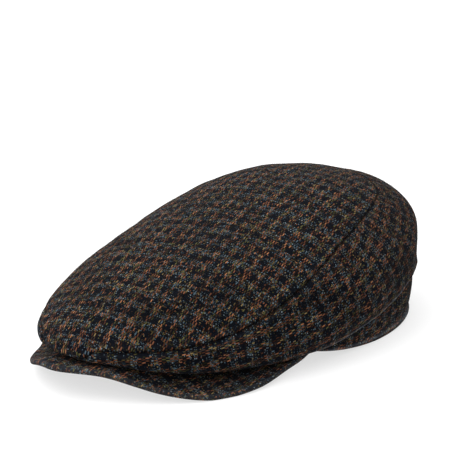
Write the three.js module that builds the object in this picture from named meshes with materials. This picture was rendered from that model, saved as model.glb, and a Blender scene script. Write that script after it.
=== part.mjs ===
// Flat cap: a top panel and two side panels, sewn to a head band, over a stiff cloth-covered peak.
// Millimetres. The front is -Y, the back +Y, the wearer's left +X and up +Z.
// The band's hem stands on Z = 0 at the back, and the peak's rim does on both sides of its middle.

import * as THREE from "three";
import { mergeVertices } from "three/addons/utils/BufferGeometryUtils.js";

// ---------------------------------------------------------------------------
// Driving dimensions
// ---------------------------------------------------------------------------

const CROWN_WALL = 2; // tweed with its backing
const BAND_WALL = 2.4; // tweed turned double at the hem
const PEAK_THICKNESS = 3.2; // board with tweed on both faces
const GAP = 0.3; // between neighbouring pieces

const POLE_HEIGHT = 81; // the crown over the middle of the head opening
const TOP_PITCH = 12; // degrees by which the top slopes down to the front there
const CROWN_HALF_WIDTH = 92; // the crown's outline seen from above, at its widest
const CROWN_FRONT_REACH = 162; // from the pole axis to the front of the crown
const CROWN_BACK_REACH = 114;
const CROWN_FRONT_POWER = 1.88; // 2 is an ellipse, less is more pointed, more is squarer
const CROWN_BACK_POWER = 2.05;
const TURN_IN = 14; // most that the crown's edge is turned in under its fold
const TURN_IN_RISE = 1.5; // how far the turned-in edge rises
const SEAM_ALLOWANCE = 3; // how far the band stands up inside the crown

const OPENING_HALF_WIDTH = 84; // outer face of the band at its hem
const OPENING_FRONT_LENGTH = 93.5; // from the pole axis to the front of the band
const OPENING_BACK_LENGTH = 98;
const OPENING_FRONT_POWER = 2.3;
const OPENING_BACK_POWER = 2.6;

const PEAK_HALF_ANGLE = 66; // where the peak ends on the band, in degrees from the front
const PEAK_RIM_SHARE = 0.5; // the rim's thickness as a share of the peak's
const HEM_STEP_ANGLE = 3; // degrees in which the hem steps down behind the peak
const HEM_LIFT = 8.7; // how far the hem is off the ground at the corners of the peak
const HEM_LIFT_ANGLE = 45; // degrees in which it comes down to the ground behind them

const TIP_OUTER_ANGLE = 9; // the seam dives under the front fold between these two angles
const TIP_INNER_ANGLE = 1;
const TIP_DEPTH = 1.4; // where on the section the seam ends at the front

// The crown's section in each direction from the pole axis, the front being 0 degrees.
// widest: height of its widest point; flat and round: how far the top keeps its slope and the side
// stays upright, as shares of the way; fold: height of the lower fold; inset: how far the fold lies in from
// the widest point; seam: the panel seam, as a share of the way from pole to widest; flare: how far the
// band leans out on its way up to the fold.
const CROWN_ROWS = [
  { turn: 0, widest: 23.5, flat: 0.59, round: 0.26, fold: 21, inset: 9, seam: 0.9, flare: 0 },
  { turn: 30, widest: 19.5, flat: 0.64, round: 0.37, fold: 10.5, inset: 9, seam: 0.85, flare: 0 },
  { turn: 60, widest: 20, flat: 0.66, round: 0.42, fold: 9.5, inset: 8, seam: 0.64, flare: 0 },
  { turn: 90, widest: 27, flat: 0.68, round: 0.47, fold: 16, inset: 6.5, seam: 0.5, flare: 0.8 },
  { turn: 120, widest: 38, flat: 0.67, round: 0.56, fold: 29, inset: 1.5, seam: 0.47, flare: 0.4 },
  { turn: 150, widest: 54.5, flat: 0.61, round: 0.65, fold: 34, inset: 1.5, seam: 0.52, flare: 4.2 },
  { turn: 180, widest: 64, flat: 0.48, round: 0.66, fold: 42, inset: 3, seam: 0.56, flare: 6 },
];

// The peak in each direction. reach: its rim, from the axis; rim and rear: height of its underside at
// the rim and at the head opening. The right columns are for the wearer's right, which droops further.
const PEAK_ROWS = [
  { turn: 0, reach: 171, rim: 15.5, reachRight: 171, rimRight: 15.5, rear: 15 },
  { turn: 11, reach: 159, rim: 14.5, reachRight: 160.5, rimRight: 6, rear: 13.5 },
  { turn: 22, reach: 147, rim: 5.5, reachRight: 142, rimRight: 0, rear: 8 },
  { turn: 33, reach: 135, rim: 0, reachRight: 129, rimRight: 0, rear: 3.5 },
  { turn: 44, reach: 118.5, rim: 1, reachRight: 116, rimRight: 1, rear: 2.5 },
  { turn: 55, reach: 99.5, rim: 4.5, reachRight: 99.5, rimRight: 4.5, rear: 4.5 },
  { turn: 66, reach: 86, rim: 6.4, reachRight: 86, rimRight: 6.4, rear: 6.4 },
];

const EDGE_PLACE = 3; // the end of the crown's section, at its turned-in edge

// How finely the faces are cut.
const FRONT_TURNS = [0, 1.5, 3, 4, 5, 6, 7, 8.5, 10];
const TURN_STEP = 5;
const PEAK_TURN_STEP = 4.4;
const TOP_STEPS = [0, 0.12, 0.25, 0.38, 0.5, 0.62, 0.73, 0.82, 0.9, 0.96, 1]; // shares, pole to seam
const SIDE_STEPS = [0, 0.06, 0.13, 0.2, 0.28, 0.36, 0.44, 0.52, 0.6, 0.68, 0.84, 1]; // seam to edge
const BAND_STEPS = [0, 0.35, 0.7, 1];
const PEAK_STEPS = [0, 0.25, 0.5, 0.75, 0.96, 1];
const MERGE_DISTANCE = 1e-4;

const TWEED = { color: 0x33323a, roughness: 0.95, metalness: 0 };

// ---------------------------------------------------------------------------
// Curves through the rows
// ---------------------------------------------------------------------------

// A smooth curve through one column of evenly turned rows, mirrored about the front and, if it
// reaches round to the back, about the back too.
function throughRows(rows, column) {
  const step = rows[1].turn - rows[0].turn;
  const last = rows.length - 1;
  const reachesBack = rows[last].turn === 180;
  const value = (k) => {
    if (k < 0) return rows[-k][column];
    if (k <= last) return rows[k][column];
    return reachesBack ? rows[2 * last - k][column] : 2 * rows[last][column] - rows[2 * last - k][column];
  };
  return (turn) => {
    const place = Math.abs(turn) / step;
    const k = Math.min(Math.floor(place), last - 1);
    const f = place - k;
    const [a, b, c, d] = [value(k - 1), value(k), value(k + 1), value(k + 2)];
    const slope = c - a;
    const bend = 2 * a - 5 * b + 4 * c - d;
    const twist = 3 * b - a - 3 * c + d;
    return b + 0.5 * f * (slope + f * (bend + f * twist));
  };
}

function columnsOf(rows) {
  const names = Object.keys(rows[0]).filter((name) => name !== "turn");
  return Object.fromEntries(names.map((name) => [name, throughRows(rows, name)]));
}

const crown = columnsOf(CROWN_ROWS);
const peak = columnsOf(PEAK_ROWS);

function smoothStep(x) {
  const f = THREE.MathUtils.clamp(x, 0, 1);
  return f * f * (3 - 2 * f);
}

// A point at a turn from the front, a radius from the pole axis and a height.
function polar(turn, radius, height) {
  const angle = THREE.MathUtils.degToRad(turn);
  return new THREE.Vector3(radius * Math.sin(angle), -radius * Math.cos(angle), height);
}

// ---------------------------------------------------------------------------
// Sections
// ---------------------------------------------------------------------------

// Radius at a turn of an oval of two half sizes. A power of 2 makes an ellipse.
function ovalRadius(turn, halfWidth, halfLength, power) {
  const angle = THREE.MathUtils.degToRad(turn);
  const across = Math.abs(Math.sin(angle)) / halfWidth;
  const along = Math.abs(Math.cos(angle)) / halfLength;
  return (across ** power + along ** power) ** (-1 / power);
}

// Radius of the head opening: the outer face of the band at its hem.
function openingRadius(turn) {
  const half = OPENING_HALF_WIDTH;
  if (Math.abs(turn) > 90) return ovalRadius(turn, half, OPENING_BACK_LENGTH, OPENING_BACK_POWER);
  return ovalRadius(turn, half, OPENING_FRONT_LENGTH, OPENING_FRONT_POWER);
}

// Radius of the crown at its widest.
function crownReach(turn) {
  if (Math.abs(turn) > 90) return ovalRadius(turn, CROWN_HALF_WIDTH, CROWN_BACK_REACH, CROWN_BACK_POWER);
  return ovalRadius(turn, CROWN_HALF_WIDTH, CROWN_FRONT_REACH, CROWN_FRONT_POWER);
}

// Outer radius of the band where the crown's turned-in edge meets it.
function bandTopRadius(turn) {
  return openingRadius(turn) + crown.flare(turn);
}

// The panel seam on the crown's section: it dives under the fold at the front.
function seamPlace(turn) {
  const dive = smoothStep((TIP_OUTER_ANGLE - Math.abs(turn)) / (TIP_OUTER_ANGLE - TIP_INNER_ANGLE));
  const seam = crown.seam(turn);
  return seam + (TIP_DEPTH - seam) * dive;
}

// The crown's section, by place: 0 pole to 1 widest point, to 2 bottom of the fold, to 3 turned-in edge.
// depth is 0 on the outer face and 1 on the inner one.
function crownPoint(turn, place, depth) {
  const reach = crownReach(turn);
  const widest = crown.widest(turn);
  const wall = depth * CROWN_WALL;
  const pitch = THREE.MathUtils.degToRad(TOP_PITCH);
  if (place === 0) return new THREE.Vector3(0, wall * Math.sin(pitch), POLE_HEIGHT - wall * Math.cos(pitch));
  if (place <= 1) {
    const shoulder = widest + crown.round(turn) * (POLE_HEIGHT - widest);
    const flat = crown.flat(turn) * reach;
    const drop = flat * Math.tan(pitch) * Math.cos(THREE.MathUtils.degToRad(turn));
    const section = new THREE.CubicBezierCurve(
      new THREE.Vector2(0, POLE_HEIGHT),
      new THREE.Vector2(flat, POLE_HEIGHT - drop),
      new THREE.Vector2(reach, shoulder),
      new THREE.Vector2(reach, widest),
    );
    const at = section.getPoint(place);
    const way = section.getTangent(place);
    return polar(turn, at.x + wall * way.y, at.y - wall * way.x);
  }
  const inset = crown.inset(turn);
  const fold = crown.fold(turn);
  const foldRadius = reach - inset;
  if (place <= 2) {
    const angle = ((place - 1) * Math.PI) / 2;
    const across = Math.max(inset - wall, GAP);
    const drop = widest - fold - wall;
    return polar(turn, foldRadius + across * Math.cos(angle), widest - drop * Math.sin(angle));
  }
  const run = Math.min(TURN_IN, foldRadius - bandTopRadius(turn) - GAP);
  const share = place - 2;
  return polar(turn, foldRadius - run * share, fold + TURN_IN_RISE * share * share + wall);
}

// The band's section: share 0 is the hem and 1 the top; depth is 0 outside and 1 inside.
function bandPoint(turn, share, depth) {
  const past = Math.abs(turn) - PEAK_HALF_ANGLE;
  const onPeak = peak.rear(Math.min(Math.abs(turn), PEAK_HALF_ANGLE)) + PEAK_THICKNESS + GAP;
  const behind = HEM_LIFT * THREE.MathUtils.clamp(1 - past / HEM_LIFT_ANGLE, 0, 1) ** 2;
  const stepped = THREE.MathUtils.clamp((past - GAP) / HEM_STEP_ANGLE, 0, 1);
  const hem = THREE.MathUtils.lerp(onPeak, behind, stepped);
  const meeting = crown.fold(turn) + TURN_IN_RISE;
  const top = meeting + CROWN_WALL + SEAM_ALLOWANCE;
  const height = THREE.MathUtils.lerp(hem, top, share);
  const left = THREE.MathUtils.clamp((meeting - height) / (meeting - hem), 0, 1);
  const radius = openingRadius(turn) + crown.flare(turn) * (1 - left * left) - depth * BAND_WALL;
  return polar(turn, radius, height);
}

// The peak's section: share 0 is the head opening and 1 the rim; depth is 0 on top and 1 underneath.
function peakPoint(turn, share, depth) {
  const rear = openingRadius(turn) - BAND_WALL;
  const reach = turn < 0 ? peak.reachRight(turn) : peak.reach(turn);
  const rim = turn < 0 ? peak.rimRight(turn) : peak.rim(turn);
  const radius = THREE.MathUtils.lerp(rear, reach, share);
  const under = Math.max(THREE.MathUtils.lerp(peak.rear(turn), rim, share), 0);
  const thinning = share === 1 ? 1 - PEAK_RIM_SHARE : 0;
  const half = PEAK_THICKNESS / 2;
  const side = depth === 0 ? half : -half;
  return polar(turn, radius, under + half + side * (1 - thinning));
}

// ---------------------------------------------------------------------------
// Walls
// ---------------------------------------------------------------------------

// Closes a grid of outer points and a grid of inner points into one wall. point(i, j, depth) gives the
// corner of column i (a turn) and row j (down the section); ring joins the last column to the first.
function wall(columns, rows, point, ring = false) {
  const corners = [];
  const faces = [];
  const grids = [0, 1].map((depth) =>
    Array.from({ length: columns }, (_, i) =>
      Array.from({ length: rows }, (_, j) => corners.push(...point(i, j, depth)) / 3 - 1),
    ),
  );
  const corner = (k) => new THREE.Vector3().fromArray(corners, 3 * k);
  // Four corners make two faces, cut along the shorter diagonal.
  const quad = (a, b, c, d) => {
    const first = corner(a).distanceTo(corner(c));
    const second = corner(b).distanceTo(corner(d));
    if (first <= second) faces.push(a, b, c, a, c, d);
    else faces.push(a, b, d, b, c, d);
  };
  const [outer, inner] = grids;
  const spans = ring ? columns : columns - 1;
  for (let i = 0; i < spans; i++) {
    const next = (i + 1) % columns;
    for (let j = 0; j < rows - 1; j++) {
      quad(outer[i][j], outer[i][j + 1], outer[next][j + 1], outer[next][j]);
      quad(inner[i][j], inner[next][j], inner[next][j + 1], inner[i][j + 1]);
    }
    quad(outer[i][0], outer[next][0], inner[next][0], inner[i][0]);
    quad(outer[i][rows - 1], inner[i][rows - 1], inner[next][rows - 1], outer[next][rows - 1]);
  }
  if (!ring) {
    for (let j = 0; j < rows - 1; j++) {
      const [end, lower] = [columns - 1, j + 1];
      quad(outer[0][j], inner[0][j], inner[0][lower], outer[0][lower]);
      quad(outer[end][j], outer[end][lower], inner[end][lower], inner[end][j]);
    }
  }
  const geometry = new THREE.BufferGeometry();
  geometry.setAttribute("position", new THREE.Float32BufferAttribute(corners, 3));
  geometry.setIndex(faces);
  return withoutSlivers(mergeVertices(geometry, MERGE_DISTANCE));
}

// Drops the faces that shrank to a line where a row of corners meets in one point.
function withoutSlivers(geometry) {
  const index = geometry.index.array;
  const kept = [];
  for (let i = 0; i < index.length; i += 3) {
    const [a, b, c] = index.subarray(i, i + 3);
    if (a !== b && b !== c && c !== a) kept.push(a, b, c);
  }
  geometry.setIndex(kept);
  geometry.computeVertexNormals();
  return geometry;
}

function clothMesh(name, geometry) {
  const mesh = new THREE.Mesh(geometry, new THREE.MeshStandardMaterial(TWEED));
  mesh.name = name;
  return mesh;
}

// Turns from the front to the back, closer together where the seam dives under the fold.
function halfTurns() {
  const turns = [...FRONT_TURNS];
  while (turns.at(-1) < 180) turns.push(turns.at(-1) + TURN_STEP);
  return turns;
}

function ringTurns() {
  const half = halfTurns();
  const other = half.slice(1, -1).map((turn) => -turn);
  return [...half, ...other.reverse()];
}

// ---------------------------------------------------------------------------
// Pieces
// ---------------------------------------------------------------------------

function topPanel() {
  const turns = ringTurns();
  const point = (i, j, depth) => crownPoint(turns[i], seamPlace(turns[i]) * TOP_STEPS[j], depth);
  return clothMesh("crown_top", wall(turns.length, TOP_STEPS.length, point, true));
}

// A side panel runs from the front to the back; side is 1 for the wearer's left and -1 for the right.
function sidePanel(name, side) {
  const edge = THREE.MathUtils.radToDeg(GAP / 2 / OPENING_FRONT_LENGTH);
  const turns = halfTurns().map((turn) => THREE.MathUtils.clamp(turn, edge, 180 - edge));
  if (side < 0) turns.reverse();
  const point = (i, j, depth) => {
    const turn = turns[i];
    const start = seamPlace(turn) + GAP / sectionSpeed(turn, seamPlace(turn));
    return crownPoint(side * turn, THREE.MathUtils.lerp(start, EDGE_PLACE, SIDE_STEPS[j]), depth);
  };
  return clothMesh(name, wall(turns.length, SIDE_STEPS.length, point));
}

// How far the outer face moves along the section for a unit of place.
function sectionSpeed(turn, place) {
  const nudge = 1e-3;
  return crownPoint(turn, place, 0).distanceTo(crownPoint(turn, place + nudge, 0)) / nudge;
}

function headBand() {
  const turns = ringTurns();
  for (const side of [1, -1]) {
    turns.push(side * (PEAK_HALF_ANGLE + GAP), side * (PEAK_HALF_ANGLE + GAP + HEM_STEP_ANGLE));
  }
  turns.sort((a, b) => a - b);
  const point = (i, j, depth) => bandPoint(turns[i], BAND_STEPS[BAND_STEPS.length - 1 - j], depth);
  return clothMesh("band", wall(turns.length, BAND_STEPS.length, point, true));
}

function stiffPeak() {
  const spans = Math.round((2 * PEAK_HALF_ANGLE) / PEAK_TURN_STEP);
  const turn = (i) => THREE.MathUtils.lerp(-PEAK_HALF_ANGLE, PEAK_HALF_ANGLE, i / spans);
  const point = (i, j, depth) => peakPoint(turn(i), PEAK_STEPS[j], depth);
  return clothMesh("peak", wall(spans + 1, PEAK_STEPS.length, point));
}

const cap = new THREE.Group();
cap.name = "flat_cap";
cap.add(topPanel());
cap.add(sidePanel("side_panel_left", 1));
cap.add(sidePanel("side_panel_right", -1));
cap.add(headBand());
cap.add(stiffPeak());
// The middle of the cap's length, from the peak's tip to the back of the crown, comes to Y = 0.
cap.position.y = (PEAK_ROWS[0].reach - CROWN_BACK_REACH) / 2;

export default cap;
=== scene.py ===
"""A flat cap of checked tweed: crown of three panels, head band and stiff peak."""

import math

import bmesh
import bpy
import numpy as np
from bpy.props import FloatProperty, FloatVectorProperty, IntProperty, PointerProperty
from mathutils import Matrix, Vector


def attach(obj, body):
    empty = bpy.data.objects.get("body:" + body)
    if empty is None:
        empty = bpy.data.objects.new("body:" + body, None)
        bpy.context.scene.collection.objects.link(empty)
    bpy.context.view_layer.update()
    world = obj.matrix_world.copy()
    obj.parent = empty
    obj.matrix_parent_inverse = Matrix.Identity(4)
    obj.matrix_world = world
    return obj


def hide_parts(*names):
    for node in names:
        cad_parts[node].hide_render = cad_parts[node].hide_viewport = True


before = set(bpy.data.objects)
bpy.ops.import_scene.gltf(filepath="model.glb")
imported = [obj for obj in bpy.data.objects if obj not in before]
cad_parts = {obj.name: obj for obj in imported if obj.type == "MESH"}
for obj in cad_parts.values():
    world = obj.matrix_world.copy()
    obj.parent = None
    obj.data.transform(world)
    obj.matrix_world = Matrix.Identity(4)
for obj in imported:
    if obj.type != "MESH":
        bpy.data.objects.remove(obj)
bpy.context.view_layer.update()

bl_info = {
    "name": "Tweed flat cap",
    "version": (1, 0, 0),
    "blender": (4, 5, 0),
    "location": "3D View > Sidebar > Cap",
    "description": "Builds a flat cap of checked tweed, piece by piece",
    "category": "Object",
}

MM = 0.001

# The crown's section in each direction from the pole axis, the front being 0 degrees. Heights and
# insets are millimetres, and the other columns are shares of the way.
CROWN_COLUMNS = ("turn", "widest", "flat", "round", "fold", "inset", "seam", "flare")
CROWN_ROWS = (
    (0, 23.5, 0.59, 0.26, 21, 9, 0.9, 0),
    (30, 19.5, 0.64, 0.37, 10.5, 9, 0.85, 0),
    (60, 20, 0.66, 0.42, 9.5, 8, 0.64, 0),
    (90, 27, 0.68, 0.47, 16, 6.5, 0.5, 0.8),
    (120, 38, 0.67, 0.56, 29, 1.5, 0.47, 0.4),
    (150, 54.5, 0.61, 0.65, 34, 1.5, 0.52, 4.2),
    (180, 64, 0.48, 0.66, 42, 3, 0.56, 6),
)

# The peak in each direction, in millimetres: how far its rim is from the axis, and the height of
# its underside at the rim and at the head opening. The right columns are for the wearer's right,
# which droops further.
PEAK_COLUMNS = ("turn", "reach", "rim", "reach_right", "rim_right", "rear")
PEAK_ROWS = (
    (0, 171, 15.5, 171, 15.5, 15),
    (11, 159, 14.5, 160.5, 6, 13.5),
    (22, 147, 5.5, 142, 0, 8),
    (33, 135, 0, 129, 0, 3.5),
    (44, 118.5, 1, 116, 1, 2.5),
    (55, 99.5, 4.5, 99.5, 4.5, 4.5),
    (66, 86, 6.4, 86, 6.4, 6.4),
)

# Soft dents (below nought) and swells of the crown: their middle as a turn in degrees and a place
# on the section, how the place shifts for each degree of turn, how far they spread each way, and
# their depth in millimetres.
DENT_ROWS = (
    (84.5, 0.955, 0.0085, 5.5, 0.025, -1.1),
    (84.5, 0.9, 0.0085, 7, 0.04, 0.4),
    (70, 0.75, 0.006, 16, 0.07, -0.7),
    (112, 0.9, 0, 10, 0.12, -0.8),
    (18, 0.62, 0, 9, 0.05, -0.9),
    (26, 0.7, 0, 8, 0.05, 0.5),
    (34, 0.56, 0, 10, 0.06, -0.6),
    (-30, 0.44, -0.008, 9, 0.03, -0.9),
    (-12, 0.6, 0, 12, 0.07, -0.6),
    (-60, 0.6, 0, 14, 0.09, -0.7),
    (-95, 0.8, 0, 16, 0.1, 0.7),
    (150, 0.6, 0, 16, 0.12, -0.6),
)

# Between these two angles, in degrees, the panel seam dives under the front fold to this place.
TIP_OUTER_ANGLE = 9.0
TIP_INNER_ANGLE = 1.0
TIP_DEPTH = 1.4
# Degrees behind the peak's corners in which the hem steps down, and then reaches the ground.
HEM_STEP_ANGLE = 1.0
HEM_LIFT_ANGLE = 45.0
GAP = 0.3 * MM  # between the turned-in edge and the band
SEAT_GAP = 0.06 * MM  # between the hem and the peak it stands on
END_SHARE = 0.55  # thickness of the peak at its ends, as a share of the rest
END_ANGLE = 8.0  # degrees in which it thins to that
CROWN_WAVES = ((0.034, 1.0, 5), (0.013, 0.4, 9))  # waviness: length, share of the most, seed

FOLD_LEVEL = 1.6
# How much paler the cloth is, at its most, on each edge: rubbed wear, and on the fold and the hem
# painted highlight as well.
FOLD_WEAR_AND_HIGHLIGHT = 2.2
HEM_WEAR_AND_HIGHLIGHT = 1.8
RIM_WEAR = 0.5

WARP_STRIPE = 5  # yarns in each stripe of the check
WEFT_STRIPE = 10
WEAVE_ROUND = 4.0  # the weave's order, after which it repeats
TOP_GRAIN_TURN = 13.0  # degrees from each piece's own length to its lengthways yarns
SIDE_GRAIN_TURN = 11.0
# Pale grey mixed into rubbed cloth, and painted highlight on the fold and the hem.
WORN_AND_HIGHLIGHT_COLOUR = (0.13, 0.135, 0.15)
TWEED_SOCKETS = (
    ("Cloth", "INPUT", "Vector"),
    ("Worn and painted light", "INPUT", "Float"),
    ("Wander", "INPUT", "Float"),
    ("Colour", "OUTPUT", "Color"),
    ("Height", "OUTPUT", "Float"),
    ("Roughness", "OUTPUT", "Float"),
)

# Loose fibres: piece, mesh, how many (none: as many as the stage says), seed, and the least and
# most of their length and of their thickness, in millimetres.
FIBRE_ROWS = (
    ("loose_wool_fine", "fuzz", None, 7, (1.2, 3.2), (0.018, 0.035)),
    ("loose_wool_strays", "strays", 160, 8, (3, 7), (0.04, 0.07)),
)
FIBRE_ROOTS = 30000  # places to choose from

CAMERA_AIM = (-0.0106, 0.013, 0.0617)
KEY_PLACE = (-0.8, -0.45, 1.5)
KEY_AIM = (0.0, 0.02, 0.03)
KEY_SIZE = 2.4
LIT_SIDE = (-0.72, -0.5, 0.48)  # the way to the brightest part of the sky
FLOOR_HALF = 6.0
WHITE = (1.0, 1.0, 1.0)


# ---- Sizes and colours ----


def number(name, description, default, unit="NONE", subtype="NONE"):
    """A property for a number."""
    return FloatProperty(
        name=name, description=description, default=default, unit=unit, subtype=subtype
    )


def length(name, description, default):
    """A property for a length in metres."""
    return number(name, description, default, "LENGTH", "DISTANCE")


def turn_angle(name, description, degrees):
    """A property for an angle, given in degrees and kept in radians."""
    return number(name, description, math.radians(degrees), "ROTATION", "ANGLE")


def colour(name, description, default):
    """A property for a colour."""
    kept = {"size": 3, "min": 0.0, "max": 1.0, "subtype": "COLOR"}
    return FloatVectorProperty(name=name, description=description, default=default, **kept)


class CapSizes(bpy.types.PropertyGroup):
    """Lengths of the cap."""

    crown_height: length("Crown height", "Crown over the middle of the head opening", 0.081)
    top_pitch: turn_angle("Top pitch", "Slope of the top down to the front there", 12)
    half_width: length("Crown half width", "Half the crown's greatest width", 0.092)
    front_reach: length("Front reach", "From the pole axis to the crown's front", 0.162)
    back_reach: length("Back reach", "From the pole axis to the crown's back", 0.114)
    front_power: number("Front power", "2 is an ellipse, less is more pointed", 1.88)
    back_power: number("Back power", "2 is an ellipse, more is squarer", 2.05)
    opening_half_width: length("Opening half width", "Band's outer face at the side", 0.084)
    opening_front: length("Opening front", "From the pole axis to the band's front", 0.0935)
    opening_back: length("Opening back", "From the pole axis to the band's back", 0.098)
    opening_front_power: number("Opening front power", "2 is an ellipse, more is squarer", 2.3)
    opening_back_power: number("Opening back power", "2 is an ellipse, more is squarer", 2.6)
    crown_wall: length("Crown cloth", "Thickness of the crown's cloth", 0.002)
    band_wall: length("Band cloth", "Thickness of the band, turned double", 0.0024)
    peak_thickness: length("Peak thickness", "Board with cloth on both faces", 0.0032)
    turn_in: length("Turn-in", "Most that the crown's edge is turned in", 0.014)
    turn_in_rise: length("Turn-in rise", "How far the turned-in edge rises", 0.0015)
    seam_allowance: length("Seam allowance", "How far the band stands up inside", 0.003)
    hem_lift: length("Hem lift", "Hem off the ground at the peak's corners", 0.0087)
    peak_half_angle: turn_angle("Peak half angle", "Where the peak ends on the band", 66)
    seam_depth: length("Seam depth", "How deep the panel seams sink", 0.0009)
    seam_puff: length("Seam puff", "How far the cloth swells beside a seam", 0.0004)
    fold_ridge: length("Fold ridge", "How far the crown's lower fold stands out", 0.0009)
    band_recess: length("Band recess", "How far the band lies back under the fold", 0.0016)
    unevenness: length("Unevenness", "Soft waviness of the cloth", 0.0003)


class CapCloth(bpy.types.PropertyGroup):
    """Yarns and colours of the tweed."""

    warp_pitch: length("Warp pitch", "From one lengthways yarn to the next", 0.0008)
    weft_pitch: length("Weft pitch", "From one crossways yarn to the next", 0.00057)
    yarn_relief: length("Yarn relief", "How far the yarns stand out", 0.00035)
    ground: colour("Ground", "Dark yarns", (0.0029, 0.0037, 0.006))
    rust: colour("Rust", "Rust wool of the lengthways yarns", (0.069, 0.0268, 0.0142))
    ember: colour("Ember", "Brightest rust", (0.122, 0.051, 0.0235))
    ochre: colour("Ochre", "Yellow-brown wool", (0.083, 0.058, 0.024))
    slate: colour("Slate", "Blue-grey wool of the crossways yarns", (0.0285, 0.0435, 0.0545))
    mist: colour("Mist", "Palest blue-grey", (0.076, 0.098, 0.109))
    moss: colour("Moss", "Olive wool", (0.038, 0.0345, 0.0125))
    brown: colour("Brown", "Dark brown wool", (0.019, 0.0118, 0.0085))
    sheen: number("Sheen", "Soft shine of the nap at a low angle", 0.02, subtype="FACTOR")


class CapStage(bpy.types.PropertyGroup):
    """Camera and light."""

    azimuth: turn_angle("Azimuth", "Camera's turn from the front", 44)
    elevation: turn_angle("Elevation", "Camera's rise over the floor", 18)
    distance: length("Distance", "From the camera to the point it looks at", 1.01)
    lens: number("Lens", "Focal length in millimetres", 130, "CAMERA")
    key_power: number("Key light", "Large light over the cap", 21, "POWER")
    sky: number("Sky", "Strength of the light all round", 1.4)
    sky_lean: number("Sky lean", "How much stronger it is on the lit side", 1.25)
    fibres: IntProperty(name="Loose fibres", description="Fine fibres that stand off", default=7000)


# ---- Shapes ----


def through_rows(columns, rows, name, turns):
    """A smooth curve through one column of evenly turned rows: between two rows it is the cubic
    whose slope at each row is half the step between that row's neighbours. It is mirrored at the
    front, and at the back if the rows reach it."""
    table = np.asarray(rows, float)
    values = table[:, columns.index(name)]
    step = table[1, 0] - table[0, 0]
    beyond = values[-2] if table[-1, 0] == 180 else 2 * values[-1] - values[-2]
    padded = np.concatenate([[values[1]], values, [beyond]])
    place = np.abs(turns) / step
    k = np.clip(np.floor(place).astype(int), 0, len(values) - 2)
    f = place - k
    a, b, c, d = padded[k], padded[k + 1], padded[k + 2], padded[k + 3]
    bend = 2 * a - 5 * b + 4 * c - d
    twist = 3 * b - a - 3 * c + d
    return b + 0.5 * f * (c - a + f * (bend + f * twist))


def crown_column(name, turns):
    return through_rows(CROWN_COLUMNS, CROWN_ROWS, name, turns)


def peak_column(name, turns):
    return through_rows(PEAK_COLUMNS, PEAK_ROWS, name, turns)


def smooth_step(x):
    """From nought to one, level at both ends: three squares less two cubes."""
    f = np.clip(x, 0, 1)
    return f * f * (3 - 2 * f)


def bell(value, middle, spread):
    """One at its middle: e to minus the square of the way from there, counted in spreads."""
    return np.exp(-(((value - middle) / spread) ** 2))


def oval_radius(turns, half_width, half_length, power):
    """Radius of the oval where the powers of the two shares, across and along, add up to one."""
    angle = np.radians(turns)
    across = np.abs(np.sin(angle)) / half_width
    along = np.abs(np.cos(angle)) / half_length
    return (across**power + along**power) ** (-1 / power)


def two_ovals(turns, half_width, front, back):
    """Radius of an outline of two half ovals, each with its own length and power."""
    ahead = oval_radius(turns, half_width, *front)
    behind = oval_radius(turns, half_width, *back)
    return np.where(np.abs(turns) > 90, behind, ahead)


def crown_reach(sizes, turns):
    """Radius of the crown at its widest."""
    front, back = (sizes.front_reach, sizes.front_power), (sizes.back_reach, sizes.back_power)
    return two_ovals(turns, sizes.half_width, front, back)


def opening_radius(sizes, turns):
    """Radius of the band's outer face at its hem."""
    front = (sizes.opening_front, sizes.opening_front_power)
    back = (sizes.opening_back, sizes.opening_back_power)
    return two_ovals(turns, sizes.opening_half_width, front, back)


def seam_place(turns):
    """Place of the panel seam on the crown's section; it dives under the fold at the front."""
    dive = smooth_step((TIP_OUTER_ANGLE - np.abs(turns)) / (TIP_OUTER_ANGLE - TIP_INNER_ANGLE))
    seam = crown_column("seam", turns)
    return seam + (TIP_DEPTH - seam) * dive


def polar(sizes, turns, radius, height):
    """Points at a turn from the front, a radius from the pole axis and a height."""
    angle = np.radians(turns) + 0 * radius
    tip = peak_column("reach", np.zeros(1))[0] * MM
    axis = (tip - sizes.back_reach) / 2
    return np.stack([radius * np.sin(angle), axis - radius * np.cos(angle), height], -1)


def crown_points(sizes, turns, places):
    """The crown's outer face. From place 0 at the pole to 1 at the widest line, the section is a
    cubic that leaves the pole at the top's pitch and comes down upright; to 2 it is a quarter of an
    ellipse, under the fold; to 3 it is the edge turned in towards the band, which rises as the
    square of the way."""
    reach = crown_reach(sizes, turns)
    widest = crown_column("widest", turns) * MM
    fold = crown_column("fold", turns) * MM
    inset = crown_column("inset", turns) * MM
    top = sizes.crown_height
    t = np.clip(places, 0, 1)
    shoulder = widest + crown_column("round", turns) * (top - widest)
    flat = crown_column("flat", turns) * reach
    slope = math.tan(sizes.top_pitch) * np.cos(np.radians(turns))
    radius = 3 * (1 - t) ** 2 * t * flat + (3 * (1 - t) * t**2 + t**3) * reach
    height = top * (1 - t) ** 3 + 3 * (1 - t) ** 2 * t * (top - flat * slope)
    height = height + 3 * (1 - t) * t**2 * shoulder + t**3 * widest
    roll = np.clip(places - 1, 0, 1) * math.pi / 2
    radius = radius - inset * (1 - np.cos(roll))
    height = height - (widest - fold) * np.sin(roll)
    tuck = np.clip(places - 2, 0, 1)
    band = opening_radius(sizes, turns) + crown_column("flare", turns) * MM
    run = np.minimum(sizes.turn_in, reach - inset - band - GAP)
    radius = radius - run * tuck
    height = height + sizes.turn_in_rise * tuck**2
    return polar(sizes, turns, radius, height)


def normals_of(points):
    """Outward directions of a grid of points: the cross product of its two ways of running."""
    down = np.gradient(points, axis=1)
    around = np.gradient(points, axis=0)
    if np.allclose(points[0], points[-1]):
        around[0] = around[-1] = points[1] - points[-2]
    out = np.cross(down, around)
    size = np.linalg.norm(out, axis=-1, keepdims=True)
    return out / np.maximum(size, 1e-12)


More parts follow.
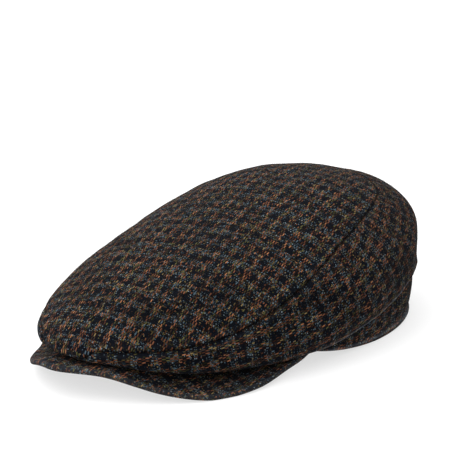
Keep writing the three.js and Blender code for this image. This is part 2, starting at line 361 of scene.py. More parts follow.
def soft_noise(points, wavelength, seed):
    """Even waviness from -1 to 1: the mean of plane sine waves in many directions."""
    rng = np.random.default_rng(seed)
    way = rng.normal(size=(14, 3))
    way /= np.linalg.norm(way, axis=1, keepdims=True)
    way *= 2 * math.pi / wavelength * rng.uniform(0.6, 1.5, (14, 1))
    phase = rng.uniform(0, 2 * math.pi, 14)
    return np.sin(points @ way.T + phase).mean(-1) * 2.2


def distance_to(points, line):
    """Distance of each point of a grid from the nearest point of a line."""
    flat = points.reshape(-1, 3)
    near = [
        np.sqrt(((part[:, None] - line[None]) ** 2).sum(-1).min(1))
        for part in np.array_split(flat, 40)
    ]
    return np.concatenate(near).reshape(points.shape[:-1])


def seam_shape(sizes, distance):
    """Height beside a seam: a narrow valley on it, and a low swell of the allowance next to it."""
    valley = bell(distance, 0, 0.75 * MM)
    swell = bell(distance, 3.6 * MM, 2.2 * MM)
    return sizes.seam_puff * swell - sizes.seam_depth * valley


def dents(turns, places):
    """Sum of the dents and swells, each one a bell over turn and place."""
    total = np.zeros(np.broadcast(turns, places).shape)
    for turn, place, slant, across, down, depth in DENT_ROWS:
        middle = place + slant * (turns - turn)
        off, fall = (turns - turn) / across, (places - middle) / down
        total += depth * MM * np.exp(-(off**2) - fall**2)
    return total


def crown_wear_and_shade(distance, turns, places):
    """Painted shade, below nought, in the dents and in a seam's valley; rubbed wear, a little above
    it, on the swell beside.
    """
    seam = 0.12 * bell(distance, 2.6 * MM, 1.4 * MM) - 0.75 * bell(distance, 0, 0.8 * MM)
    return seam + 0.5 * np.minimum(dents(turns, places), 0) / MM


def turned(across, along, degrees):
    """Places on the cloth whose lengthways yarns are turned from the piece's own length."""
    c, s = math.cos(math.radians(degrees)), math.sin(math.radians(degrees))
    return np.stack([across * c + along * s, along * c - across * s], -1)


def arc_lengths(points):
    """Length run along each column of a grid, from its first row."""
    step = np.linalg.norm(np.diff(points, axis=1), axis=-1)
    return np.concatenate([np.zeros((len(points), 1)), np.cumsum(step, axis=1)], axis=1)


# ---- Meshes ----


def grid_mesh(name, points, cloth, wear_and_painted_light, ring=False, pole=False, tube=False):
    """Puts a grid of points, columns by rows, into a mesh of outward faces. ring joins the last
    column to the first, which repeats it; pole makes the first row one point; tube joins the last
    row to the first. cloth is where each point lies on the flat cloth, in metres. The grid after it
    is above nought where the cloth is paler, with rubbed wear and painted highlight, and below
    nought where painted shade darkens it."""
    columns, rows = points.shape[:2]
    kept = columns - 1 if ring else columns
    index = np.arange(kept * rows).reshape(kept, rows)
    if ring:
        index = np.concatenate([index, index[:1]])
    if pole:
        index[:, 0] = index[0, 0]
    here = np.arange(rows if tube else rows - 1)
    below = (here + 1) % rows
    i, j = np.meshgrid(np.arange(columns - 1), here, indexing="ij")
    k = below[j]
    square = ((i, j), (i, k), (i + 1, k), (i + 1, j))
    corners = np.stack([index[corner] for corner in square], -1).reshape(-1, 4)
    places = np.stack([cloth[corner] for corner in square], 2).reshape(-1, 4, 2)
    starts, totals, loops, flat = [], [], [], []
    three = corners[:, 0] == corners[:, 3]
    at = 0
    for mask, take in ((~three, [0, 1, 2, 3]), (three, [0, 1, 2])):
        count = int(mask.sum())
        loops.append(corners[mask][:, take].ravel())
        flat.append(places[mask][:, take].reshape(-1, 2))
        starts.append(at + len(take) * np.arange(count))
        totals.append(np.full(count, len(take)))
        at += len(take) * count
    used, packed = np.unique(np.concatenate(loops), return_inverse=True)
    mesh = bpy.data.meshes.new(name)
    mesh.vertices.add(len(used))
    mesh.vertices.foreach_set("co", points[:kept].reshape(-1, 3)[used].ravel())
    mesh.loops.add(len(packed))
    mesh.loops.foreach_set("vertex_index", packed.astype(np.int32))
    mesh.polygons.add(len(corners))
    mesh.polygons.foreach_set("loop_start", np.concatenate(starts).astype(np.int32))
    mesh.polygons.foreach_set("loop_total", np.concatenate(totals).astype(np.int32))
    mesh.polygons.foreach_set("use_smooth", np.ones(len(corners), bool))
    mesh.update(calc_edges=True)
    layer = mesh.uv_layers.new(name="Cloth")
    layer.data.foreach_set("uv", np.concatenate(flat).ravel())
    worn_and_painted_light = mesh.attributes.new("worn_and_painted_light", "FLOAT", "POINT")
    worn_and_painted_light.data.foreach_set("value", wear_and_painted_light[:kept].reshape(-1)[used].astype(np.float32))
    mesh.validate()
    return mesh


def add_piece(name, mesh, material, replaces=()):
    """Links a finished mesh as a piece that rides on the cap."""
    piece = bpy.data.objects.new(name, mesh)
    bpy.context.scene.collection.objects.link(piece)
    piece.data.materials.append(material)
    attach(piece, "root")
    if replaces:
        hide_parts(*replaces)
    return piece


def thicken(piece, thickness):
    """Gives a sheet its thickness, inwards from its outer face."""
    wall = piece.modifiers.new("Thickness", "SOLIDIFY")
    wall.thickness = thickness
    wall.offset = -1
    wall.use_even_offset = False
    wall.use_quality_normals = True


# ---- Cloth ----


class Graph:
    """Short ways to add shader nodes to a tree and link them."""

    def __init__(self, tree):
        self.tree = tree
        tree.nodes.clear()

    def add(self, kind, **settings):
        node = self.tree.nodes.new(kind)
        for name, value in settings.items():
            setattr(node, name, value)
        return node

    def put(self, socket, value):
        """Links a socket into another, or sets its value."""
        if isinstance(value, bpy.types.NodeSocket):
            self.tree.links.new(value, socket)
        elif value is not None:
            socket.default_value = value

    def result(self, kind, inputs, output=0, **settings):
        """Adds a node, fills its inputs and gives one of its outputs."""
        node = self.add(kind, **settings)
        for socket, value in inputs.items():
            self.put(node.inputs[socket], value)
        return node.outputs[output]

    def math(self, operation, a, b=None, c=None, clamp=False):
        inputs = {0: a, 1: b, 2: c}
        return self.result("ShaderNodeMath", inputs, operation=operation, use_clamp=clamp)

    def times(self, a, b, clamp=False):
        return self.math("MULTIPLY", a, b, clamp=clamp)

    def times_plus(self, a, b, c):
        """The first times the second, plus the third."""
        return self.math("MULTIPLY_ADD", a, b, c)

    def combine(self, x, y, z=0.0):
        return self.result("ShaderNodeCombineXYZ", {0: x, 1: y, 2: z})

    def white(self, vector):
        """An unrelated number from nought to one for each vector."""
        kind = "ShaderNodeTexWhiteNoise"
        return self.result(kind, {"Vector": vector}, "Value", noise_dimensions="3D")

    def noise(self, vector, scale, detail=2.0, roughness=0.5):
        inputs = {"Vector": vector, "Scale": scale, "Detail": detail, "Roughness": roughness}
        return self.result("ShaderNodeTexNoise", inputs, "Fac", noise_dimensions="3D")

    def mix(self, share, a, b, blend="MIX"):
        """A colour between two colours."""
        inputs = {"Factor": share, 6: a, 7: b}
        return self.result("ShaderNodeMix", inputs, 2, data_type="RGBA", blend_type=blend)

    def blend(self, share, a, b):
        """A number between two numbers."""
        return self.result("ShaderNodeMix", {"Factor": share, 2: a, 3: b}, data_type="FLOAT")

    def bump(self, height, strength, distance):
        """Normals that follow a height."""
        inputs = {"Strength": strength, "Distance": distance, "Height": height}
        return self.result("ShaderNodeBump", inputs, "Normal")


def rgba(value):
    return (*value, 1.0)


def new_material(name, fixed):
    """A material of one Principled shader with some fixed values, its graph and that shader."""
    material = bpy.data.materials.new(name)
    material.use_nodes = True
    graph = Graph(material.node_tree)
    out = graph.add("ShaderNodeOutputMaterial")
    shader = graph.add("ShaderNodeBsdfPrincipled")
    for socket, value in fixed.items():
        shader.inputs[socket].default_value = value
    graph.put(out.inputs["Surface"], shader.outputs["BSDF"])
    return material, graph, shader


def colour_steps(graph, value, stops):
    """Picks one colour of a list by a number: each colour starts at its own number."""
    ramp = graph.add("ShaderNodeValToRGB")
    ramp.color_ramp.interpolation = "CONSTANT"
    elements = ramp.color_ramp.elements
    elements[1].position = stops[1][0]
    for element, (_, shade) in zip(elements, stops):
        element.color = rgba(shade)
    for position, shade in stops[2:]:
        elements.new(position).color = rgba(shade)
    graph.put(ramp.inputs["Fac"], value)
    return ramp.outputs["Color"]


def scaled(graph, shade, factor):
    """A colour times a number."""
    return graph.mix(1.0, shade, graph.combine(factor, factor, factor), "MULTIPLY")


def fleck_colour(graph, stops, yarn, along, often, seed):
    """Colour of a yarn of mixed wool: each short length takes one of the colours, paler or darker.
    often is how many lengths there are for each step along."""
    cell = graph.math("FLOOR", graph.times(along, often))
    pick = graph.white(graph.combine(yarn, cell, seed + 0.5))
    bright = graph.white(graph.combine(cell, yarn, seed + 3.5))
    strength = graph.times_plus(bright, 1.8, 0.1)
    return scaled(graph, colour_steps(graph, pick, stops), strength)


def tweed_group(cloth):
    """The tweed as a node group. Each lengthways yarn goes over four crossways yarns and under the
    next four, and its neighbour does so the other way about: it is on top where twice its number
    and half the crossways yarn's number add up to less than two in fours. Lengthways, five dark
    yarns follow five rust ones; crossways, ten dark yarns follow ten blue-grey ones. Height is
    the rounded back of the yarn on top."""
    tree = bpy.data.node_groups.new("Checked tweed", "ShaderNodeTree")
    graph = Graph(tree)
    for label, way, kind in TWEED_SOCKETS:
        tree.interface.new_socket(label, in_out=way, socket_type="NodeSocket" + kind)
    given = graph.add("NodeGroupInput")
    out = graph.add("NodeGroupOutput")
    where = given.outputs["Cloth"]
    split = graph.add("ShaderNodeSeparateXYZ")
    graph.put(split.inputs[0], where)
    across, along = split.outputs[0], split.outputs[1]
    # The yarns wander a little, so that no stripe has an even edge.
    swapped = graph.combine(along, across, 0.3)
    wander = graph.math("SUBTRACT", graph.noise(where, 70.0, 3.0), 0.5)
    drift = graph.math("SUBTRACT", graph.noise(swapped, 70.0, 3.0), 0.5)
    warp_at = graph.math("DIVIDE", across, cloth.warp_pitch)
    weft_at = graph.math("DIVIDE", along, cloth.weft_pitch)
    a = graph.times_plus(wander, given.outputs["Wander"], warp_at)
    b = graph.times_plus(drift, given.outputs["Wander"], weft_at)
    warp, weft = graph.math("FLOOR", a), graph.math("FLOOR", b)
    a_in, b_in = graph.math("FRACT", a), graph.math("FRACT", b)
    order = graph.times_plus(weft, 0.5, graph.times(warp, 2.0))
    cross = graph.math("FLOORED_MODULO", order, WEAVE_ROUND)
    warp_up = graph.math("LESS_THAN", cross, WEAVE_ROUND / 2 - 0.25)

    warp_place = graph.math("FLOORED_MODULO", warp, 2.0 * WARP_STRIPE)
    weft_place = graph.math("FLOORED_MODULO", weft, 2.0 * WEFT_STRIPE)
    warp_dark = graph.math("LESS_THAN", warp_place, WARP_STRIPE - 0.5)
    weft_dark = graph.math("LESS_THAN", weft_place, WEFT_STRIPE - 0.5)
    # The share of the lengths of a yarn at which each colour starts.
    warm = (
        (0.0, cloth.brown),
        (0.22, cloth.rust),
        (0.6, cloth.ember),
        (0.74, cloth.moss),
        (0.85, cloth.ochre),
        (0.96, cloth.slate),
    )
    cool = (
        (0.0, cloth.ground),
        (0.26, cloth.slate),
        (0.61, cloth.mist),
        (0.71, cloth.moss),
        (0.8, cloth.brown),
        (0.91, cloth.ochre),
    )
    # A lengthways yarn has one colour each time it comes to the top.
    warm_yarn = fleck_colour(graph, warm, warp, order, 1 / WEAVE_ROUND, 23.0)
    cool_yarn = fleck_colour(graph, cool, weft, a, 0.45, 11.0)
    mixed = graph.mix(warp_up, cool_yarn, warm_yarn)
    dark = graph.blend(warp_up, weft_dark, warp_dark)
    # One short length in five of a dark yarn is mixed wool too.
    yarn_no = graph.blend(warp_up, weft, warp)
    yarn_way = graph.blend(warp_up, a, b)
    length_no = graph.math("FLOOR", graph.times(yarn_way, 0.35))
    speck = graph.white(graph.combine(yarn_no, length_no, 41.0))
    dark = graph.times(dark, graph.math("LESS_THAN", speck, 0.8))
    base = graph.mix(dark, mixed, rgba(cloth.ground))

    # The yarn's rounded back, across it and along the stretch that lies on top.
    side_way = graph.blend(warp_up, b_in, a_in)
    begun = graph.math("FLOORED_MODULO", cross, WEAVE_ROUND / 2)
    warp_run = graph.times_plus(b_in, 0.5, begun)
    weft_run = graph.times(a_in, 2.0)
    stretch = graph.blend(warp_up, weft_run, warp_run)
    back = graph.math("SINE", graph.times(side_way, math.pi))
    bow = graph.math("SINE", graph.times(stretch, math.pi / 2))
    yarn = graph.times(back, graph.times_plus(bow, 0.6, 0.4))
    finer = graph.combine(graph.times(a, 3.0), graph.times(b, 3.0))
    fibre = graph.noise(finer, 1.0, 3.0, 0.65)
    height = graph.times_plus(yarn, 0.75, graph.times(fibre, 0.45))

    # Painted shade darkens the gaps between yarns and the hollows, the tone drifts, and edges are
    # paler with rubbed wear and, on the fold and the hem, painted highlight.
    shade = graph.times_plus(yarn, 1.05, 0.3)
    cloud = graph.times_plus(graph.noise(where, 35.0, 3.0), 0.7, 0.65)
    grain = graph.times_plus(fibre, 0.9, 0.55)
    tone = graph.times(graph.times(shade, cloud), grain)
    # Painted shade: the input below nought darkens the tone.
    painted_shade = graph.times(given.outputs["Worn and painted light"], -1.0, clamp=True)
    tone = graph.times(tone, graph.math("SUBTRACT", 1.0, painted_shade))
    coloured = scaled(graph, base, tone)
    # Above nought the input makes the cloth paler: rubbed wear, and painted highlight on the fold
    # and the hem.
    wear_and_highlight = graph.times(graph.noise(where, 420.0, 3.0), 0.8)
    patch = graph.times(given.outputs["Worn and painted light"], wear_and_highlight, clamp=True)
    pale = graph.mix(0.4, scaled(graph, coloured, 2.6), rgba(WORN_AND_HIGHLIGHT_COLOUR))
    graph.put(out.inputs["Colour"], graph.mix(patch, coloured, pale))
    graph.put(out.inputs["Height"], height)
    graph.put(out.inputs["Roughness"], graph.times_plus(fibre, 0.12, 0.84))
    return tree


def tweed_material(name, relief, wander=2.7):
    """The finished cloth: colour and relief from the tweed group, and the nap's sheen."""
    cloth = bpy.context.scene.cap_cloth
    if name in bpy.data.materials:
        return bpy.data.materials[name]
    fixed = {
        "Sheen Weight": cloth.sheen,
        "Sheen Roughness": 0.45,
        "Sheen Tint": (0.72, 0.72, 0.78, 1.0),
        "Specular IOR Level": 0.01,
    }
    material, graph, shader = new_material(name, fixed)
    where = graph.add("ShaderNodeUVMap", uv_map="Cloth")
    # Rubbed wear, painted shade and painted highlight, kept on the mesh.
    worn_and_painted_light = graph.add("ShaderNodeAttribute", attribute_name="worn_and_painted_light")
    tweed = graph.add("ShaderNodeGroup")
    tweed.node_tree = bpy.data.node_groups.get("Checked tweed") or tweed_group(cloth)
    graph.put(tweed.inputs["Cloth"], where.outputs["UV"])
    graph.put(tweed.inputs["Worn and painted light"], worn_and_painted_light.outputs["Fac"])
    tweed.inputs["Wander"].default_value = wander
    normal = graph.bump(tweed.outputs["Height"], relief, cloth.yarn_relief)
    graph.put(shader.inputs["Base Color"], tweed.outputs["Colour"])
    graph.put(shader.inputs["Roughness"], tweed.outputs["Roughness"])
    graph.put(shader.inputs["Normal"], normal)
    return material


# ---- Pieces ----


def crown_surface(sizes, turns, places, seams):
    """The crown with its seams, dents and soft waviness: the plain face moved along its normals."""
    plain = crown_points(sizes, turns, places)
    out = normals_of(plain)
    off = np.full(plain.shape[:2], 1.0)
    for line in seams:
        off = np.minimum(off, distance_to(plain, line))
    at_back = smooth_step((np.abs(turns) - 120) / 25)
    lift = seam_shape(sizes, off) * (1 - 0.6 * at_back) + dents(turns, places)
    for wavelength, share, seed in CROWN_WAVES:
        lift = lift + share * sizes.unevenness * soft_noise(plain, wavelength, seed)
    ridge = bell(places, 1.8, 0.2) * smooth_step((np.abs(turns) - 55) / 20)
    ridge = ridge * (1 - 0.8 * at_back)
    lift = (lift + sizes.fold_ridge * ridge) * smooth_step((2.6 - places) / 0.6)
    return plain, plain + out * lift[..., None], off


def panel_seam(sizes, side):
    """The line of the seam between the top panel and a side panel."""
    turns = side * np.linspace(0, 180, 721)
    return crown_points(sizes, turns, seam_place(turns))


def centre_seam(sizes, turn):
    """The line where the two side panels meet, at the front or the back."""
    first = seam_place(np.array([float(turn)]))[0]
    places = np.linspace(first, 3, 200)
    return crown_points(sizes, np.full(200, float(turn)), places)


class CAP_OT_crown_top(bpy.types.Operator):
    """Build the long top panel of the crown"""

    bl_idname = "cap.crown_top"
    bl_label = "Crown top panel"

    def execute(self, context):
        sizes = context.scene.cap_sizes
        turns = np.linspace(-180, 180, 401)[:, None]
        rows = 1 - np.linspace(1, 0, 84) ** 1.5
        places = seam_place(turns) * rows[None]
        seams = [panel_seam(sizes, 1), panel_seam(sizes, -1)]
        plain, points, off = crown_surface(sizes, turns, places, seams)
        points[:, 0] = points[:, 0].mean(0)
        run = arc_lengths(plain)
        angle = np.radians(turns)
        cloth = turned(run * np.sin(angle), -run * np.cos(angle), TOP_GRAIN_TURN)
        # Painted shade in the dents and the seam valleys, and rubbed wear on the swell beside each
        # seam.
        wear_and_painted_light = crown_wear_and_shade(off, turns, places)
        mesh = grid_mesh("crown_top", points, cloth, wear_and_painted_light, ring=True, pole=True)
        tweed = tweed_material("Tweed top", 0.9)
        piece = add_piece("crown_top_cloth", mesh, tweed, ["crown_top"])
        thicken(piece, sizes.crown_wall)
        return {"FINISHED"}


class CAP_OT_side_panels(bpy.types.Operator):
    """Build the two side panels of the crown"""

    bl_idname = "cap.side_panels"
    bl_label = "Crown side panels"

    def execute(self, context):
        sizes = context.scene.cap_sizes
        tweed = tweed_material("Tweed side", 0.9, 4.0)
        for side, name in ((1, "side_panel_left"), (-1, "side_panel_right")):
            turns = np.linspace(min(180 * side, 0), max(180 * side, 0), 301)[:, None]
            start = seam_place(turns)
            rows = np.linspace(0, 1, 90)[None] ** 1.4
            places = start + (3 - start) * rows
            seams = [panel_seam(sizes, side), centre_seam(sizes, 0), centre_seam(sizes, 180)]
            plain, points, off = crown_surface(sizes, turns, places, seams)
            run = arc_lengths(plain)
            line = crown_points(sizes, turns, np.minimum(np.maximum(start, 1), 1.2))
            along = arc_lengths(line.swapaxes(0, 1)).T + 0 * run
            along = along if side > 0 else along[-1:] - along
            level = [np.interp(FOLD_LEVEL, p, r) for p, r in zip(places, run)]
            across = run - np.array(level)[:, None] + 0.2 * side
            cloth = turned(across, along, SIDE_GRAIN_TURN)
            # The lower fold is paler with rubbed wear and painted highlight; the dents and the seam
            # valleys get painted shade.
            wear_and_highlight = bell(places, 1.7, 0.08) * smooth_step((np.abs(turns) - 50) / 30)
            wear_and_painted_light = crown_wear_and_shade(off, turns, places) + FOLD_WEAR_AND_HIGHLIGHT * wear_and_highlight
            mesh = grid_mesh(name, points, cloth, wear_and_painted_light)
            piece = add_piece(name + "_cloth", mesh, tweed, [name])
            thicken(piece, sizes.crown_wall)
        return {"FINISHED"}


def band_points(sizes, turns, up, out):
    """The band by a share of its height and a distance out from its outer face. It stands on the
    peak in front and steps down towards the ground behind the peak's corners; it leans out by the
    flare, most of it near the hem: the rest is the square of the way left to the fold."""
    half = math.degrees(sizes.peak_half_angle)
    past = np.abs(turns) - half
    on_peak = peak_column("rear", np.minimum(np.abs(turns), half)) * MM
    on_peak = on_peak + sizes.peak_thickness + SEAT_GAP
    behind = sizes.hem_lift * np.clip(1 - past / HEM_LIFT_ANGLE, 0, 1) ** 2
    step = smooth_step(past / HEM_STEP_ANGLE)
    hem = on_peak + (behind - on_peak) * step
    meeting = crown_column("fold", turns) * MM + sizes.turn_in_rise
    top = meeting + sizes.crown_wall + sizes.seam_allowance
    height = hem + (top - hem) * up
    left = np.clip((meeting - height) / (meeting - hem), 0, 1)
    lean = crown_column("flare", turns) * MM * (1 - left**2)
    radius = opening_radius(sizes, turns) + lean + out
    return polar(sizes, turns, radius, height)


class CAP_OT_band(bpy.types.Operator):
    """Build the head band with its folded hem"""

    bl_idname = "cap.band"
    bl_label = "Head band"

    def execute(self, context):
        sizes = context.scene.cap_sizes
        turns = np.linspace(-180, 180, 481)[:, None]
        wall = sizes.band_wall
        count = 36
        face = np.linspace(1, 0, count) ** 1.4
        # Down the outer face, round the hem in a half circle, and up the inner face.
        bend = np.linspace(0, math.pi, 11)[1:-1]
        up = np.concatenate([face, np.zeros(9), face[::-1]])[None]
        inward = wall / 2 * (1 - np.cos(bend))
        out = np.concatenate([0 * face, -inward, -wall + 0 * face])[None]
        drop = np.concatenate([0 * face, np.sin(bend), 0 * face])[None] * wall / 2
        tall = wall / 2 * (1 - smooth_step(up / 0.12))
        plain = band_points(sizes, turns, up, out)
        plain[..., 2] += tall - drop
        # Outside, the hem rolls out over a shallow groove, and the band lies back under the fold,
        # deepest beside the ear and least at the back.
        hem_roll = 0.8 * MM * bell(up, 0.06, 0.055) - 0.5 * MM * bell(up, 0.17, 0.04)
        pocket = 1 + 0.7 * bell(np.abs(turns), 98, 7)
        at_back = smooth_step((np.abs(turns) - 115) / 25)
        recess = sizes.band_recess * smooth_step((up - 0.5) / 0.25) * pocket
        recess = recess * (1 - 0.8 * at_back)
        outside = (np.arange(up.shape[1]) < count)[None]
        uneven = sizes.unevenness * soft_noise(plain, 0.03, 31) * smooth_step(up / 0.12)
        lift = np.where(outside, hem_roll - recess, 0) + uneven
        lift = lift * np.where(outside, 1, 0.3)
        points = plain + normals_of(plain) * lift[..., None]
        points[-1] = points[0]
        points[..., 2] = np.maximum(points[..., 2], 0)
        line = polar(sizes, turns, opening_radius(sizes, turns), 0 * turns)
        along = arc_lengths(line.swapaxes(0, 1)).T + 0 * up
        run = arc_lengths(plain)
        cloth = np.stack([0.7 - run, along], -1)
        # Painted shade darkens the band under the fold, most beside the ear; along the hem it is
        # paler with rubbed wear and painted highlight.
        shaded = smooth_step((up - 0.45) / 0.25) * (0.45 + 0.35 * (pocket - 1))
        wear_and_painted_light = (HEM_WEAR_AND_HIGHLIGHT * bell(up, 0.1, 0.04) - shaded) * outside + 0 * turns
        mesh = grid_mesh("band", points, cloth, wear_and_painted_light, ring=True, tube=True)
        tweed = tweed_material("Tweed band", 0.8, 4.0)
        piece = add_piece("band_cloth", mesh, tweed, ["band"])
        return {"FINISHED"}


class CAP_OT_peak(bpy.types.Operator):
    """Build the stiff peak, covered with cloth on both faces"""

    bl_idname = "cap.peak"
    bl_label = "Peak"

    def execute(self, context):
        sizes = context.scene.cap_sizes
        half = math.degrees(sizes.peak_half_angle)
        turns = np.linspace(-half, half, 261)[:, None]
        thick = sizes.peak_thickness
        count = 44
        face = np.linspace(0, 1, count)
        # Out along the upper face, round the rim in a half circle, and back along the lower one.
        bend = np.linspace(0, math.pi, 13)[1:-1]
        way = np.concatenate([face, np.ones(11), face[::-1]])[None]
        rise = np.concatenate([np.ones(count), np.cos(bend), -np.ones(count)])[None] * thick / 2
        push = np.concatenate([0 * face, np.sin(bend), 0 * face])[None] * thick / 2
        rear = opening_radius(sizes, turns) - sizes.band_wall
        reach, rim = (
            np.where(turns < 0, peak_column(name + "_right", turns), peak_column(name, turns))
            for name in ("reach", "rim")
        )
        radius = rear + (reach * MM - thick / 2 - rear) * way + push
        inner = peak_column("rear", turns)
        under = inner + (rim - inner) * way
        # The peak thins from below towards its two ends, where it meets the hem.
        full = smooth_step((half - np.abs(turns)) / END_ANGLE)
        share = 1 - (1 - END_SHARE) * (1 - full)
        height = np.maximum(under, 0) * MM + thick * (1 - share / 2) + rise * share
        plain = polar(sizes, turns, radius, height)
        uneven = 0.5 * bell(way, 0.93, 0.06) + 0.6 * soft_noise(plain, 0.03, 17)
        lift = sizes.unevenness * uneven * smooth_step(way / 0.15)
        points = plain + normals_of(plain) * lift[..., None]
        points[..., 2] = np.maximum(points[..., 2], 0)
        run = arc_lengths(plain)
        tip = way.shape[1] // 2
        middle = run[:, tip : tip + 1]
        out = rear + np.where(run > middle, 2 * middle - run, run)
        angle = np.radians(turns)
        below = (np.arange(run.shape[1]) > tip)[None]
        cloth = np.stack([out * np.sin(angle) + 0.4 * below, -out * np.cos(angle)], -1)
        wear_and_painted_light = RIM_WEAR * bell(way, 1.0, 0.02) * (rise > -0.9 * thick / 2) + 0 * turns
        mesh = grid_mesh("peak", points, cloth, wear_and_painted_light, tube=True)
        close_ends(mesh, *points.shape[:2])
        tweed = tweed_material("Tweed peak", 0.8, 3.0)
        piece = add_piece("peak_cloth", mesh, tweed, ["peak"])
        return {"FINISHED"}


def close_ends(mesh, columns, rows):
    """Fills the two open ends of a tube made by grid_mesh."""
    work = bmesh.new()
    work.from_mesh(mesh)
    work.verts.ensure_lookup_table()
    first = [work.verts[j] for j in range(rows)]
    last = [work.verts[(columns - 1) * rows + j] for j in range(rows)]
    work.faces.new(first)
    work.faces.new(last[::-1])
    bmesh.ops.recalc_face_normals(work, faces=work.faces)
    work.to_mesh(mesh)
    work.free()


def fibre_mesh(name, roots, out, count, seed, long, thick):
    """Loose fibres: each is a thin three-sided tube along a bent line, which leaves the cloth at a
    low angle: root + way times s + bend times s squared, with s from nought to one."""
    rng = np.random.default_rng(seed)
    pick = rng.integers(0, len(roots), count)
    root, normal = roots[pick], out[pick]
    side = np.cross(normal, rng.normal(size=(count, 3)))
    side /= np.linalg.norm(side, axis=1, keepdims=True)
    size = rng.uniform(*long, (count, 1))
    rise = rng.uniform(0.05, 0.75, (count, 1))
    way = (side + normal * rise) * size
    bend = np.cross(normal, side) * size * rng.normal(0, 0.35, (count, 1))
    bend = bend - normal * size * rng.uniform(0, 0.45, (count, 1))
    s = np.linspace(0, 1, 4)[None, :, None]
    sunk = root[:, None] - normal[:, None] * 0.15 * MM
    line = sunk + way[:, None] * s + bend[:, None] * s**2
    across = np.cross(way, normal)
    across /= np.linalg.norm(across, axis=1, keepdims=True)
    upward = np.cross(across, way)
    upward /= np.linalg.norm(upward, axis=1, keepdims=True)
    corner = np.radians([0, 120, 240])[None, :, None]
    ring = np.cos(corner) * across[:, None] + np.sin(corner) * upward[:, None]
    taper = np.array([1.0, 0.9, 0.75, 0.3])[None, :, None, None]
    radius = rng.uniform(*thick, (count, 1, 1, 1))
    points = line[:, :, None] + ring[:, None] * taper * radius
    index = np.arange(count * 12).reshape(count, 4, 3)
    nxt = np.roll(index, -1, axis=2)
    quads = np.stack([index[:, :-1], nxt[:, :-1], nxt[:, 1:], index[:, 1:]], -1).reshape(-1, 4)
    tips, feet = index[:, 3], index[:, 0][:, ::-1]
    mesh = bpy.data.meshes.new(name)
    faces = [*quads.tolist(), *tips.tolist(), *feet.tolist()]
    mesh.from_pydata(points.reshape(-1, 3).tolist(), [], faces)
    tint = mesh.attributes.new("tint", "FLOAT", "POINT")
    tint.data.foreach_set("value", np.repeat(rng.uniform(0, 1, count), 12).astype(np.float32))
    mesh.polygons.foreach_set("use_smooth", np.ones(len(mesh.polygons), bool))
    mesh.update()
    return mesh


def wool_material():
    """Single wool fibres: dark, rust, slate and pale ones, told apart by their tint."""
    cloth = bpy.context.scene.cap_cloth
    fixed = {"Roughness": 0.7, "Sheen Weight": cloth.sheen, "Specular IOR Level": 0.1}
    material, graph, shader = new_material("Loose wool", fixed)
    tint = graph.add("ShaderNodeAttribute", attribute_name="tint")
    stops = (
        (0.0, cloth.ground),
        (0.45, cloth.rust),
        (0.6, cloth.slate),
        (0.78, cloth.brown),
        (0.9, cloth.ochre),
        (0.96, cloth.mist),
    )
    wool = colour_steps(graph, tint.outputs["Fac"], stops)
    where = graph.add("ShaderNodeTexCoord")
    vary = graph.times_plus(graph.noise(where.outputs["Object"], 900.0, 2.0), 0.8, 0.6)
    graph.put(shader.inputs["Base Color"], scaled(graph, wool, vary))
    graph.put(shader.inputs["Normal"], graph.bump(vary, 0.3, 0.05 * MM))
    return material


class CAP_OT_loose_wool(bpy.types.Operator):
    """Build the fine fibres that stand off the cloth"""

    bl_idname = "cap.loose_wool"
    bl_label = "Loose wool"

    def execute(self, context):
        sizes = context.scene.cap_sizes
        rng = np.random.default_rng(3)
        turns = np.linspace(-180, 180, 721)[:, None]
        places = np.linspace(0.03, 2.0, 300)[None]
        crown = crown_points(sizes, turns, places)
        out = normals_of(crown)
        # Roots are spread evenly over the cloth, by the area round each point.
        patch = np.cross(np.gradient(crown, axis=1), np.gradient(crown, axis=0))
        weight = np.linalg.norm(patch, axis=-1).ravel()
        pick = rng.choice(weight.size, FIBRE_ROOTS, p=weight / weight.sum())
        roots, ways = crown.reshape(-1, 3)[pick], out.reshape(-1, 3)[pick]
        material = wool_material()
        for name, label, count, seed, long, thick in FIBRE_ROWS:
            count = count or context.scene.cap_stage.fibres
            long, thick = np.multiply(long, MM), np.multiply(thick, MM)
            mesh = fibre_mesh(label, roots, ways, count, seed, long, thick)
            add_piece(name, mesh, material)
        return {"FINISHED"}


# ---- Stage ----


def stage_material():
    """Matt white sheet, lit a little from below so that shadows stay pale."""
    fixed = {
        "Base Color": (0.3, 0.3, 0.3, 1.0),
        "Emission Color": rgba(WHITE),
        "Emission Strength": 0.65,
        "Roughness": 0.9,
        "Specular IOR Level": 0.1,
    }
    return new_material("White floor", fixed)[0]


def facing(direction):
    """Turn of a light or camera that looks along a direction."""
    return direction.to_track_quat("-Z", "Y").to_euler()


def leaning_sky(world, stage):
    """White light from all round, which grows evenly from the shaded side to the lit one."""
    graph = Graph(world.node_tree)
    out = graph.add("ShaderNodeOutputWorld")
    background = graph.add("ShaderNodeBackground")
    background.inputs["Color"].default_value = rgba(WHITE)
    inputs = {0: graph.add("ShaderNodeTexCoord").outputs["Generated"], 1: LIT_SIDE}
    toward = graph.result("ShaderNodeVectorMath", inputs, "Value", operation="DOT_PRODUCT")
    strength = graph.times_plus(toward, stage.sky_lean, stage.sky)
    graph.put(background.inputs["Strength"], strength)
    graph.put(out.inputs["Surface"], background.outputs["Background"])


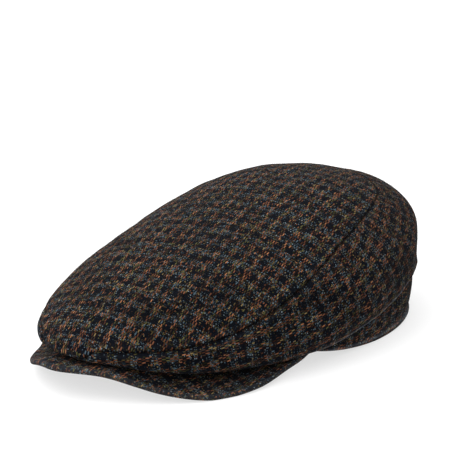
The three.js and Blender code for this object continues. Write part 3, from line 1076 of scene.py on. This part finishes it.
class CAP_OT_stage(bpy.types.Operator):
    """Build the floor, the light and the camera"""

    bl_idname = "cap.stage"
    bl_label = "Stage"

    def execute(self, context):
        scene = context.scene
        stage = scene.cap_stage
        mesh = bpy.data.meshes.new("floor")
        signs = ((-1, -1), (1, -1), (1, 1), (-1, 1))
        corners = [(x * FLOOR_HALF, y * FLOOR_HALF, 0) for x, y in signs]
        mesh.from_pydata(corners, [], [(0, 1, 2, 3)])
        mesh.materials.append(stage_material())
        floor = bpy.data.objects.new("floor", mesh)
        scene.collection.objects.link(floor)
        world = bpy.data.worlds.new("Studio")
        scene.world = world
        world.use_nodes = True
        leaning_sky(world, stage)
        light = bpy.data.lights.new("Key", "AREA")
        light.shape = "DISK"
        light.size = KEY_SIZE
        light.energy = stage.key_power
        lamp = bpy.data.objects.new("Key", light)
        lamp.location = KEY_PLACE
        lamp.rotation_euler = facing(Vector(KEY_AIM) - Vector(KEY_PLACE))
        scene.collection.objects.link(lamp)
        scene.view_settings.view_transform = "Standard"

        azimuth, rise = stage.azimuth, stage.elevation
        level = math.cos(rise)
        way = (math.sin(azimuth) * level, -math.cos(azimuth) * level, math.sin(rise))
        data = bpy.data.cameras.new("Camera")
        data.lens = stage.lens
        data.sensor_width = 36.0
        camera = bpy.data.objects.new("Camera", data)
        camera.location = Vector(CAMERA_AIM) + Vector(way) * stage.distance
        camera.rotation_euler = facing(-Vector(way))
        scene.collection.objects.link(camera)
        scene.camera = camera
        return {"FINISHED"}


# ---- Panel and run ----


class CAP_PT_build(bpy.types.Panel):
    """Sizes, colours and steps of the cap"""

    bl_label = "Tweed flat cap"
    bl_idname = "CAP_PT_build"
    bl_space_type = "VIEW_3D"
    bl_region_type = "UI"
    bl_category = "Cap"

    def draw(self, context):
        for step in STEPS:
            self.layout.operator(step.bl_idname)
        for kept, _ in GROUPS:
            box = self.layout.box()
            group = getattr(context.scene, kept)
            for name in group.__annotations__:
                box.prop(group, name)


STEPS = (
    CAP_OT_crown_top,
    CAP_OT_side_panels,
    CAP_OT_band,
    CAP_OT_peak,
    CAP_OT_loose_wool,
    CAP_OT_stage,
)
GROUPS = (("cap_sizes", CapSizes), ("cap_cloth", CapCloth), ("cap_stage", CapStage))


def register():
    for name, group in GROUPS:
        bpy.utils.register_class(group)
        setattr(bpy.types.Scene, name, PointerProperty(type=group))
    for kind in (*STEPS, CAP_PT_build):
        bpy.utils.register_class(kind)


def unregister():
    for kind in (CAP_PT_build, *reversed(STEPS)):
        bpy.utils.unregister_class(kind)
    for name, group in reversed(GROUPS):
        delattr(bpy.types.Scene, name)
        bpy.utils.unregister_class(group)


def main():
    register()
    bpy.ops.cap.crown_top()
    bpy.ops.cap.side_panels()
    bpy.ops.cap.band()
    bpy.ops.cap.peak()
    bpy.ops.cap.loose_wool()
    bpy.ops.cap.stage()


if __name__ == "__main__":
    main()
